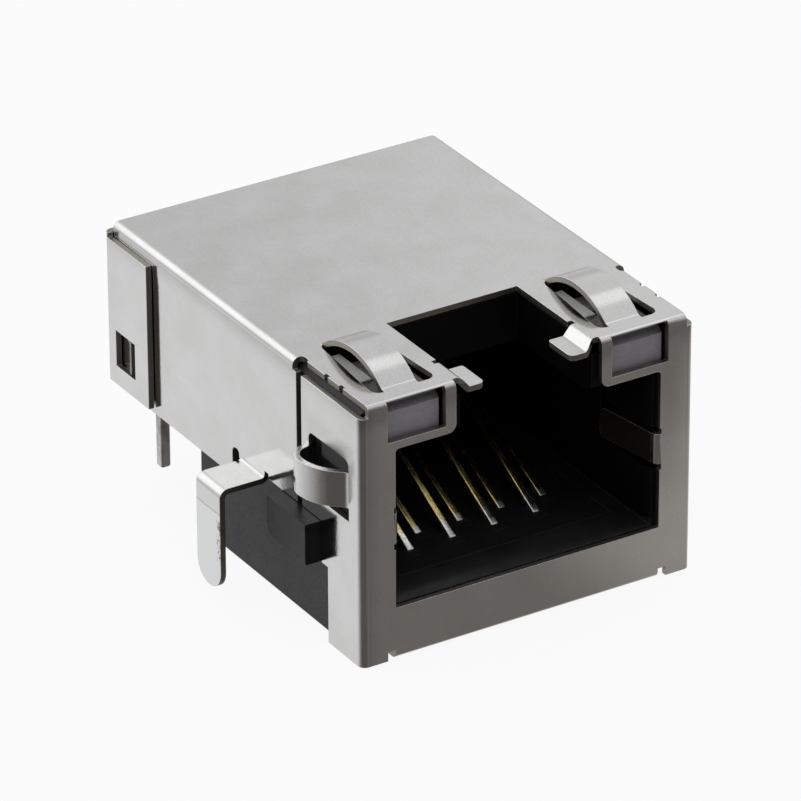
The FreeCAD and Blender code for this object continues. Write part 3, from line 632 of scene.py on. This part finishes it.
def leg_marks(tree, place, settings):
    """Masks of the legs' dipped feet, of the line above them and of the flecks at their front."""
    where = place["where"]
    leg = ranged(tree, place["side"], *LEGS)
    wave = noise(tree, where, 0.5 * MM, detail=3.0, roughness=0.6, shift=2.0)
    height = calculated(tree, "ADD", place["z"], product(tree, wave, 0.16 * MM))
    line = settings.dip_line + 0.08 * MM
    foot = ranged(tree, height, line + 0.02 * MM, line - 0.02 * MM)
    groove = ranged(tree, distance(tree, height, line), 0.05 * MM, 0.015 * MM)
    specks = noise(tree, where, 0.16 * MM, detail=3.0, roughness=0.6)
    specks = ranged(tree, specks, 0.50, 0.58)
    front = ranged(tree, place["y"], LEG_FRONT + 0.42 * MM, LEG_FRONT + 0.10 * MM)
    lift = ranged(tree, distance(tree, place["z"], LEG_MIDDLE), 1.15 * MM, 0.75 * MM)
    flecks = product(tree, specks, product(tree, front, lift))
    return [product(tree, leg, mask) for mask in (foot, groove, flecks)]


def nickel_material(settings):
    """Bright nickel over rolled sheet: clouds, fine grain, painted highlights on the rounded edges and
    arch rims, and duller cut edges.

    The legs' feet are dipped, the plug springs get painted shade where they lie in the port's shade, and
    the flaps are pressed dull round the arches. The bump also draws the plates in towards the top bend
    and the front face towards its sides, by the square of the way to the edge.
    """
    material, tree, where, normal, edge, shader = new_material("bright_nickel", settings.rounding)
    place = places(tree, where)
    cut = add(tree, "ShaderNodeAttribute", attribute_name="sheared").outputs["Fac"]
    foot, groove, flecks = leg_marks(tree, place, settings)
    clouds = noise(tree, where, settings.blotch, detail=4.0, roughness=0.55)
    grain = noise(tree, where, settings.grain, detail=2.0, roughness=0.6)
    streaks = noise(
        tree, where, settings.grain * 1.6, detail=3.0, roughness=0.6, stretch=(1, 34, 1), shift=3.0
    )
    peel = noise(tree, where, 0.24 * MM, detail=2.0, roughness=0.5, shift=11.0)
    speck = noise(tree, where, 0.05 * MM, detail=1.0, roughness=0.5, shift=17.0)
    speck = ranged(tree, speck, 0.35, 0.75, 0.0, 0.16, curve="LINEAR")

    flap = ranged(tree, place["side"], *FLAPS)
    # Painted highlight: the arch strips' cut rims lose the sheared tone and take half the edge highlight
    # tone.
    rim_highlight = product(tree, flap, block_mask(tree, place, ARCH_RIM_HIGHLIGHT), cut)
    cut = calculated(tree, "SUBTRACT", cut, rim_highlight)
    springs = block_mask(tree, place, PLUG_SPRING_SHADE)
    pressed = product(tree, block_mask(tree, place, PRESSED_FLAP), flap)
    tone = calculated(tree, "ADD", product(tree, clouds, 0.84), product(tree, streaks, 0.16))
    tone = ranged(tree, tone, 0.34, 0.66, curve="LINEAR")
    layers = [
        (speck, settings.sheared),
        (foot, settings.foot),
        (cut, settings.sheared),
        (product(tree, rim_highlight, 0.5), settings.edge),
        # Painted shade on the plug springs inside the port.
        (springs, settings.spring),
        # Painted highlight: the rubbed edge tone laid along the rounded edges.
        (product(tree, edge, ranged(tree, clouds, 0.30, 0.62, 0.45, 1.0)), settings.edge),
        (calculated(tree, "MAXIMUM", product(tree, groove, 0.5), flecks), settings.stain),
    ]
    base = blend_of(tree, tone, rgba(settings.dark), rgba(settings.light))
    base = layered(tree, base, layers)

    low = max(settings.gloss - settings.spread / 2, 0.02)
    mottle = product(tree, calculated(tree, "ADD", grain, clouds), 0.5)
    rough = ranged(tree, mottle, 0.32, 0.68, low, low + settings.spread)
    dulled = calculated(
        tree, "MAXIMUM", product(tree, foot, 0.3), cut, springs, product(tree, pressed, 0.8), flecks
    )
    rough = calculated(tree, "ADD", rough, product(tree, dulled, 0.32))
    finished(tree, shader, base, rough, metallic=1.0)

    up = ranged(tree, place["z"], *TO_TOP_BEND, curve="LINEAR")
    out = ranged(tree, place["side"], *TO_SIDE_BEND, curve="LINEAR")
    ahead = ranged(tree, turned_back(tree), -0.7, -0.9)
    drawn = calculated(tree, "SUBTRACT", 1.0, product(tree, up, up))
    rolled = calculated(tree, "SUBTRACT", 1.0, product(tree, out, out, ahead))
    bumps = [
        (drawn, settings.crown, 1.0),
        (rolled, settings.crown * 0.6, 1.0),
        (peel, 0.0030 * MM, 0.6),
        (clouds, 0.006 * MM, 0.35),
        (streaks, settings.depth, 0.12),
        (grain, settings.depth, 0.50),
        (product(tree, grain, cut), 0.006 * MM, 0.6),
    ]
    bumped(tree, shader, normal, bumps)
    return material


def moulding_material(settings, name, light, dark):
    """Black moulded plastic: spark texture, slight flow clouds, paler dust and a painted highlight along
    the edges.

    The port's inner walls are darkened as painted shade, with their reflections dimmed, and the wall
    behind the arch windows is made paler as painted light.
    """
    material, tree, where, normal, edge, shader = new_material(name, settings.rounding)
    place = places(tree, where)
    clouds = noise(tree, where, 1.6 * MM, detail=4.0, roughness=0.6)
    grain = noise(tree, where, settings.grain, detail=3.0, roughness=0.65)
    dust = noise(tree, where, 0.12 * MM, detail=2.0, roughness=0.7, shift=5.0)
    dust = ranged(tree, dust, 0.66, 0.78)
    inside = block_mask(tree, place, PORT_SHADE)
    shaded = calculated(tree, "MAXIMUM", inside, ranged(tree, turned_back(tree), -0.8, -0.95))
    # Painted highlight along the edges, weaker inside the port and on faces turned to the front.
    edge_sheen = product(
        tree,
        edge,
        ranged(tree, clouds, 0.3, 0.6, 0.25, 0.8),
        ranged(tree, shaded, 0, 1, 1.0, 0.3),
    )
    layers = [
        # Painted shade on the walls inside the port.
        (inside, settings.inner),
        # Painted light on the wall behind the arch windows.
        (block_mask(tree, place, ARCH_WALL_LIGHT), settings.wall),
        (edge_sheen, settings.sheen_and_dust),
        (product(tree, dust, 0.25), settings.sheen_and_dust),
    ]
    base = blend_of(tree, ranged(tree, clouds, 0.35, 0.65), rgba(dark), rgba(light))
    base = layered(tree, base, layers)
    rough = ranged(tree, grain, 0.3, 0.7, settings.gloss - 0.06, settings.gloss + 0.10)
    finished(tree, shader, base, rough)
    # Painted shade in the reflections: weaker inside the port and on faces turned to the front.
    shine = ranged(tree, shaded, 0, 1, 0.38, 0.10)
    tree.links.new(shine, shader.inputs["Specular IOR Level"])
    bumped(tree, shader, normal, [(clouds, 0.012 * MM, 0.3), (grain, settings.depth, 0.6)])
    return material


def contact_material(settings):
    """Nickel at the front that turns to gold further in, with pits and fine draw lines.

    The far part darkens, as it lies in the port's shade, and the run in the floor's slot
    stays nickel.
    """
    material, tree, where, normal, _, shader = new_material("gold_over_nickel", 0.03 * MM)
    place = places(tree, where)
    patches = noise(tree, where, 0.7 * MM, detail=3.0, roughness=0.6)
    drawn = noise(tree, where, 0.035 * MM, detail=2.0, roughness=0.5, stretch=(1, 40, 8))
    pits = noise(tree, where, 0.11 * MM, detail=3.0, roughness=0.6, shift=4.0)
    pits = ranged(tree, pits, 0.46, 0.60)
    start = FRONT + settings.gold_from
    wander = calculated(tree, "ADD", place["y"], product(tree, patches, settings.fade))
    gold = ranged(tree, wander, start, start + settings.fade)
    patchy = ranged(tree, patches, 0.4, 0.7)
    warm = blend_of(tree, patchy, rgba(settings.gold), rgba(settings.tarnish))
    far = ranged(tree, place["y"], *IN_SHADE, 0.0, 0.72)
    slot = ranged(tree, place["z"], *IN_SLOT)
    layers = [
        (product(tree, pits, 0.45), settings.pit),
        (far, settings.pit),
        (slot, settings.nickel),
    ]
    base = layered(tree, blend_of(tree, gold, rgba(settings.nickel), warm), layers)
    rough = ranged(tree, drawn, 0.3, 0.7, settings.gloss - 0.05, settings.gloss + 0.10)
    rough = calculated(tree, "ADD", rough, product(tree, slot, 0.12))
    finished(tree, shader, base, rough, metallic=1.0)
    bumped(tree, shader, normal, [(drawn, 0.0015 * MM, 0.5)])
    return material


def lead_material(settings):
    """Tinned wire with dull patches and long draw lines."""
    material, tree, where, normal, _, shader = new_material("tinned_wire", 0.05 * MM)
    patches = noise(tree, where, 0.8 * MM, detail=4.0, roughness=0.6)
    drawn = noise(tree, where, 0.05 * MM, detail=2.0, roughness=0.5, stretch=(1, 1, 30))
    base = blend_of(tree, ranged(tree, patches, 0.42, 0.68), rgba(settings.tin), rgba(settings.dull))
    rough = ranged(tree, patches, 0.3, 0.7, settings.gloss - 0.06, settings.gloss + 0.14)
    finished(tree, shader, base, rough, metallic=1.0)
    bumped(tree, shader, normal, [(drawn, 0.003 * MM, 0.5)])
    return material


def lamp_material(settings):
    """Cloudy resin: milky lens face, paler edges, painted light on the raised top and the brown shadow
    of the parts inside.
    """
    material, tree, where, normal, edge, shader = new_material("cloudy_resin", settings.rounding)
    place = places(tree, where)
    clouds = noise(tree, where, 0.55 * MM, detail=3.0, roughness=0.55)
    drift = calculated(tree, "ADD", place["y"], product(tree, clouds, 0.35 * MM))
    behind = ranged(tree, drift, *DARK_FROM)
    ahead = ranged(tree, drift, *DARK_TO, 1.0, 0.0)
    chamfer = ranged(tree, place["z"], *LENS_CHAMFER)
    front = ranged(tree, place["y"], *LENS_FRONT)
    raised = ranged(tree, place["z"], *LAMP_RAISED)
    below = ranged(tree, place["z"], *BELOW_LENS_TOP)
    layers = [
        (product(tree, behind, ahead, 0.85), settings.inner),
        (product(tree, chamfer, front), settings.slope),
        (product(tree, edge, 0.9), settings.clear),
        # Painted light: the raised part's top made pale.
        (raised, settings.rim_highlight),
        (product(tree, block_mask(tree, place, LAMP_CUP), below), settings.cup),
    ]
    cloudy = ranged(tree, clouds, 0.35, 0.7, 0.0, 0.30)
    base = blend_of(tree, cloudy, rgba(settings.milk), rgba(settings.clear))
    base = layered(tree, base, layers)
    rough = ranged(tree, clouds, 0.3, 0.7, settings.gloss - 0.04, settings.gloss + 0.10)
    finished(tree, shader, base, rough)
    shader.inputs["Subsurface Weight"].default_value = 0.35
    shader.inputs["Subsurface Radius"].default_value = (0.9, 0.8, 1.0)
    shader.inputs["Subsurface Scale"].default_value = 0.35 * MM
    shader.inputs["IOR"].default_value = 1.53
    bumped(tree, shader, normal, [(clouds, 0.02 * MM, 0.25)])
    return material


class JACK_OT_shield(bpy.types.Operator):
    """Dresses the folded shield in satin nickel."""

    bl_idname = "jack.shield"
    bl_label = "Shield"

    def execute(self, context):
        material = nickel_material(context.scene.jack_sheet)
        piece = dressed_copy("shield", "shield_sheet", material)
        mark_sheared(piece, SHEET)
        return {"FINISHED"}


class JACK_OT_mouldings(bpy.types.Operator):
    """Dresses the housing and the insert in black plastic, and closes the insert's slots."""

    bl_idname = "jack.mouldings"
    bl_label = "Mouldings"

    def execute(self, context):
        settings = context.scene.jack_moulding
        black = moulding_material(settings, "black_moulding", settings.light, settings.dark)
        deep = moulding_material(settings, "insert_moulding", settings.insert, settings.dark)
        dressed_copy("housing", "housing_moulding", black)
        dressed_copy("contact_carrier", "carrier_moulding", deep)
        points, faces = slot_fills()
        new_piece("insert_slot_fills", points, faces, deep)
        return {"FINISHED"}


class JACK_OT_contacts(bpy.types.Operator):
    """Makes the eight sprung contacts from rounded flat wire."""

    bl_idname = "jack.contacts"
    bl_label = "Contacts"

    def execute(self, context):
        settings = context.scene.jack_contact
        material = contact_material(settings)
        section = rounded_section(settings.width, settings.thickness)
        for number in range(CONTACTS):
            node = f"contact_{number + 1}"
            corners = contact_corners(number)
            radii = np.full(len(corners) - 2, settings.bend)
            radii[-1] = settings.tip_bend
            line, headings = bent_line(corners, radii, settings.steps)
            points, faces = swept_wire(line, headings, contact_plane(number), section)
            piece = new_piece(f"{node}_wire", points, faces, material)
            smooth(piece, WIRE_CREASE)
            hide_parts(node)
        return {"FINISHED"}


class JACK_OT_leads(bpy.types.Operator):
    """Makes the four indicator leads from rounded square wire."""

    bl_idname = "jack.leads"
    bl_label = "Leads"

    def execute(self, context):
        settings = context.scene.jack_lead
        material = lead_material(settings)
        section = rounded_section(settings.side, settings.side, power=7.0)
        for node in ("lead_right_inner", "lead_left_inner", "lead_right_outer", "lead_left_outer"):
            low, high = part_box(node)
            half = settings.side / 2
            corners = [
                (low.y, high.z - half),
                (high.y - half, high.z - half),
                (high.y - half, low.z),
            ]
            line, headings = bent_line(corners, settings.bend, settings.steps)
            points, faces = swept_wire(line, headings, (low.x + high.x) / 2, section)
            piece = new_piece(f"{node}_wire", points, faces, material)
            smooth(piece, WIRE_CREASE)
            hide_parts(node)
        return {"FINISHED"}


class JACK_OT_lamps(bpy.types.Operator):
    """Dresses the two indicators in cloudy resin."""

    bl_idname = "jack.lamps"
    bl_label = "Indicators"

    def execute(self, context):
        material = lamp_material(context.scene.jack_lamp)
        for node in ("lamp_right", "lamp_left"):
            dressed_copy(node, f"{node}_resin", material)
        return {"FINISHED"}


class JACK_OT_stage(bpy.types.Operator):
    """Sets the pale floor, the soft lights and the camera."""

    bl_idname = "jack.stage"
    bl_label = "Stage"

    def execute(self, context):
        settings = context.scene.jack_studio
        lay_floor(settings)
        light_room(settings)
        hang_lamp(settings)
        place_camera(settings)
        context.scene.view_settings.view_transform = "Standard"
        return {"FINISHED"}


def contact_plane(number):
    """Distance of a contact's plane from the jack's middle plane, in metres."""
    return (number - (CONTACTS - 1) / 2) * PITCH


def contact_corners(number):
    """Corners of a contact's middle line as (y, z), from its tail to its free end.

    The tail stands behind the sunk part, the wire runs over the rear block, down in the
    rear wall and forward in the floor, and it climbs out of the floor to its free end,
    along the line that the solid's top side has there.
    """
    row = ROWS[number % 2]
    half = WIRE_THICKNESS / 2
    slope = math.radians(row["slope"])
    tail = SUNK + TAIL_BEHIND + row["tail"] - half
    wall = SUNK - WALL
    end = wall - FREE_END
    down = wall + (WALL - WIRE_THICKNESS) / 2 + half
    over = OVER_TOP - half
    under = UNDER_TOP - half
    direction = np.array([math.cos(slope), math.sin(slope)])
    normal = np.array([-direction[1], direction[0]])
    end_middle = np.array([end, FLOOR_TOP + half + (end - row["leave"]) * math.tan(slope)])
    end_top = end_middle + normal * 2 * half
    start_top = np.array([row["leave"] + TOP_LEAVES, FLOOR_TOP])
    direction = (end_top - start_top) / np.linalg.norm(end_top - start_top)
    normal = np.array([-direction[1], direction[0]])
    foot = start_top - normal * half
    bend = foot - direction * (foot[0] - row["rise"]) / direction[0]
    tip = end_top - normal * half
    runs = [(tail, TAIL_END), (tail, over), (down, over), (down, under), (row["rise"], under), bend, tip]
    return [(FRONT + y * MM, z * MM) for y, z in runs]


def slot_fills():
    """Plastic that closes the floor's slots in front of the contacts, one box a slot.

    Each box is the corner signs of a cube times its half sizes, plus its middle.
    """
    signs = np.array([(x, y, z) for z in (-1, 1) for y in (-1, 1) for x in (-1, 1)], dtype=float)
    sides = [(0, 2, 3, 1), (4, 5, 7, 6), (0, 1, 5, 4), (2, 6, 7, 3), (0, 4, 6, 2), (1, 3, 7, 5)]
    half = np.array(FILL_HALVES) * MM
    points = []
    faces = []
    for number in range(CONTACTS):
        depth = FRONT + (ROWS[number % 2]["leave"] - FILL_AHEAD) * MM
        middle = np.array([contact_plane(number), depth, FILL_HEIGHT])
        faces += [tuple(8 * number + corner for corner in side) for side in sides]
        points.append(signs * half + middle)
    return np.vstack(points), faces


def lay_floor(settings):
    """Pale floor: it keeps the object's shadow, and metal sees the room and a low glow through it."""
    half = settings.floor / 2
    corners = [(-half, -half, 0), (half, -half, 0), (half, half, 0), (-half, half, 0)]
    mesh = bpy.data.meshes.new("floor")
    mesh.from_pydata(corners, [], [(0, 1, 2, 3)])
    floor = linked("floor", mesh)
    material = bpy.data.materials.new("pale_floor")
    tree = cleared_tree(material)
    rays = add(tree, "ShaderNodeLightPath").outputs
    where = add(tree, "ShaderNodeTexCoord").outputs["Object"]
    place = add(tree, "ShaderNodeSeparateXYZ", {"Vector": where}).outputs
    right = ranged(tree, place["X"], *GLOW_RIGHT)
    before = ranged(tree, place["Y"], *GLOW_BEFORE)
    ahead = ranged(tree, place["Y"], *GLOW_AHEAD)
    near = product(tree, product(tree, right, product(tree, before, ahead)), settings.glow)
    matt = add(tree, "ShaderNodeBsdfDiffuse", {"Color": rgba(settings.floor_tone)}).outputs[0]
    seen = add(tree, "ShaderNodeEmission", {"Color": WHITE, "Strength": 1.0}).outputs[0]
    clear = add(tree, "ShaderNodeBsdfTransparent").outputs[0]
    glow = add(tree, "ShaderNodeEmission", {"Color": rgba(settings.warm), "Strength": near}).outputs[0]
    mirrored = add(tree, "ShaderNodeAddShader", {0: clear, 1: glow}).outputs[0]
    shiny = calculated(tree, "MAXIMUM", rays["Is Glossy Ray"], rays["Is Transmission Ray"])
    other = mixed(tree, shiny, matt, mirrored)
    camera = mixed(tree, settings.shadow, seen, matt)
    final = mixed(tree, rays["Is Camera Ray"], other, camera)
    add(tree, "ShaderNodeOutputMaterial", {"Surface": final})
    mesh.materials.append(material)


def room_strength(tree, way, settings):
    """Brightness of the room by direction: pale above, paler overhead, dim in front.

    Below the horizon it rises evenly from the front to the rear, as the ground does in
    the sheet's side plates, and it dips a little at the horizon itself. The right is
    a little brighter than the left above, and the soft window is added behind, on the left.
    """
    axes = add(tree, "ShaderNodeSeparateXYZ", {"Vector": way}).outputs
    x, y, z = axes["X"], axes["Y"], axes["Z"]
    off = distance(tree, y, PATCH_MIDDLE)
    patch = product(tree, ranged(tree, off, *PATCH_SIDES), ranged(tree, z, *PATCH_LOW_EDGE))
    above = ranged(tree, y, *SKY_OPENS, settings.dim, settings.sky)
    above = calculated(tree, "ADD", above, product(tree, patch, settings.overhead))
    above = product(tree, above, ranged(tree, x, *RIGHT_EDGE, *RIGHT_LEVELS))
    front = ranged(tree, y, *CORNER_AHEAD)
    corner = between(tree, front, 1.0, ranged(tree, x, *CORNER_SIDE, CORNER_LEVEL, 1.0))
    ground = ranged(tree, y, *GROUND_RISES, settings.dim, settings.ground, curve="LINEAR")
    ground = product(tree, ground, corner)
    level = ranged(tree, z, *HORIZON)
    dip = ranged(tree, distance(tree, z), *DIP_EDGE, DIP_LEVEL, 1.0)
    room = product(tree, between(tree, level, ground, above), dip)
    toward = add(tree, "ShaderNodeVectorMath", {0: way, 1: WINDOW_WAY}, operation="DOT_PRODUCT")
    window = product(tree, ranged(tree, toward.outputs["Value"], *WINDOW_EDGE), settings.window)
    return calculated(tree, "ADD", room, window)


def light_room(settings):
    """Pale room that is white to the camera and dims towards the front."""
    world = bpy.data.worlds.new("pale_room")
    bpy.context.scene.world = world
    tree = cleared_tree(world)
    rays = add(tree, "ShaderNodeLightPath").outputs
    way = add(tree, "ShaderNodeTexCoord").outputs["Generated"]
    strength = room_strength(tree, way, settings)
    tone = blend_of(tree, ranged(tree, strength, *TONE_BAND), rgba(settings.warm), COOL_WHITE)
    room = add(tree, "ShaderNodeBackground", {"Color": tone, "Strength": strength}).outputs[0]
    white = add(tree, "ShaderNodeBackground", {"Color": WHITE, "Strength": 1.0}).outputs[0]
    final = mixed(tree, rays["Is Camera Ray"], room, white)
    add(tree, "ShaderNodeOutputWorld", {"Surface": final})


def hang_lamp(settings):
    """One large soft lamp, low behind the object on its left."""
    data = bpy.data.lights.new("key_lamp", "AREA")
    data.shape = "SQUARE"
    data.size = LAMP_SIDE
    data.energy = settings.key
    lamp = linked("key_lamp", data)
    lamp.location = LAMP_PLACE
    lamp.rotation_mode = "QUATERNION"
    lamp.rotation_quaternion = (Vector(LAMP_AIM) - lamp.location).to_track_quat("-Z", "Y")


def place_camera(settings):
    """Long lens at the photograph's place and angle."""
    data = bpy.data.cameras.new("camera")
    data.sensor_width = 36
    data.lens = settings.lens
    data.clip_start = 0.01
    data.clip_end = 20
    camera = linked("camera", data)
    flat = math.cos(settings.elevation)
    back = Vector(
        (
            math.sin(settings.azimuth) * flat,
            -math.cos(settings.azimuth) * flat,
            math.sin(settings.elevation),
        )
    )
    camera.location = settings.place
    camera.rotation_mode = "QUATERNION"
    level = (-back).to_track_quat("-Z", "Y")
    camera.rotation_quaternion = level @ Quaternion((0, 0, 1), settings.roll)
    bpy.context.scene.camera = camera


class JACK_PT_panel(bpy.types.Panel):
    """Lists the jack's pieces and settings in the sidebar."""

    bl_idname = "JACK_PT_panel"
    bl_label = "Board jack"
    bl_space_type = "VIEW_3D"
    bl_region_type = "UI"
    bl_category = "Board jack"

    def draw(self, context):
        for made, group in STEPS:
            box = self.layout.box()
            box.operator(made.bl_idname)
            settings = getattr(context.scene, group)
            for key in settings.bl_rna.properties.keys():
                if key not in ("rna_type", "name"):
                    box.prop(settings, key)


GROUPS = {
    "jack_sheet": SheetFinish,
    "jack_moulding": MouldingFinish,
    "jack_contact": ContactFinish,
    "jack_lead": LeadFinish,
    "jack_lamp": LampFinish,
    "jack_studio": StudioSettings,
}
STEPS = [
    (JACK_OT_shield, "jack_sheet"),
    (JACK_OT_mouldings, "jack_moulding"),
    (JACK_OT_contacts, "jack_contact"),
    (JACK_OT_leads, "jack_lead"),
    (JACK_OT_lamps, "jack_lamp"),
    (JACK_OT_stage, "jack_studio"),
]


def register():
    """Registers the settings, the operators and the panel."""
    for name, group in GROUPS.items():
        bpy.utils.register_class(group)
        setattr(bpy.types.Scene, name, PointerProperty(type=group))
    for made, _ in STEPS:
        bpy.utils.register_class(made)
    bpy.utils.register_class(JACK_PT_panel)


def unregister():
    """Takes back what register did."""
    bpy.utils.unregister_class(JACK_PT_panel)
    for made, _ in reversed(STEPS):
        bpy.utils.unregister_class(made)
    for name, group in GROUPS.items():
        delattr(bpy.types.Scene, name)
        bpy.utils.unregister_class(group)


def main():
    """Makes every piece and the stage."""
    register()
    bpy.ops.jack.shield()
    bpy.ops.jack.mouldings()
    bpy.ops.jack.contacts()
    bpy.ops.jack.leads()
    bpy.ops.jack.lamps()
    bpy.ops.jack.stage()


if __name__ == "__main__":
    main()
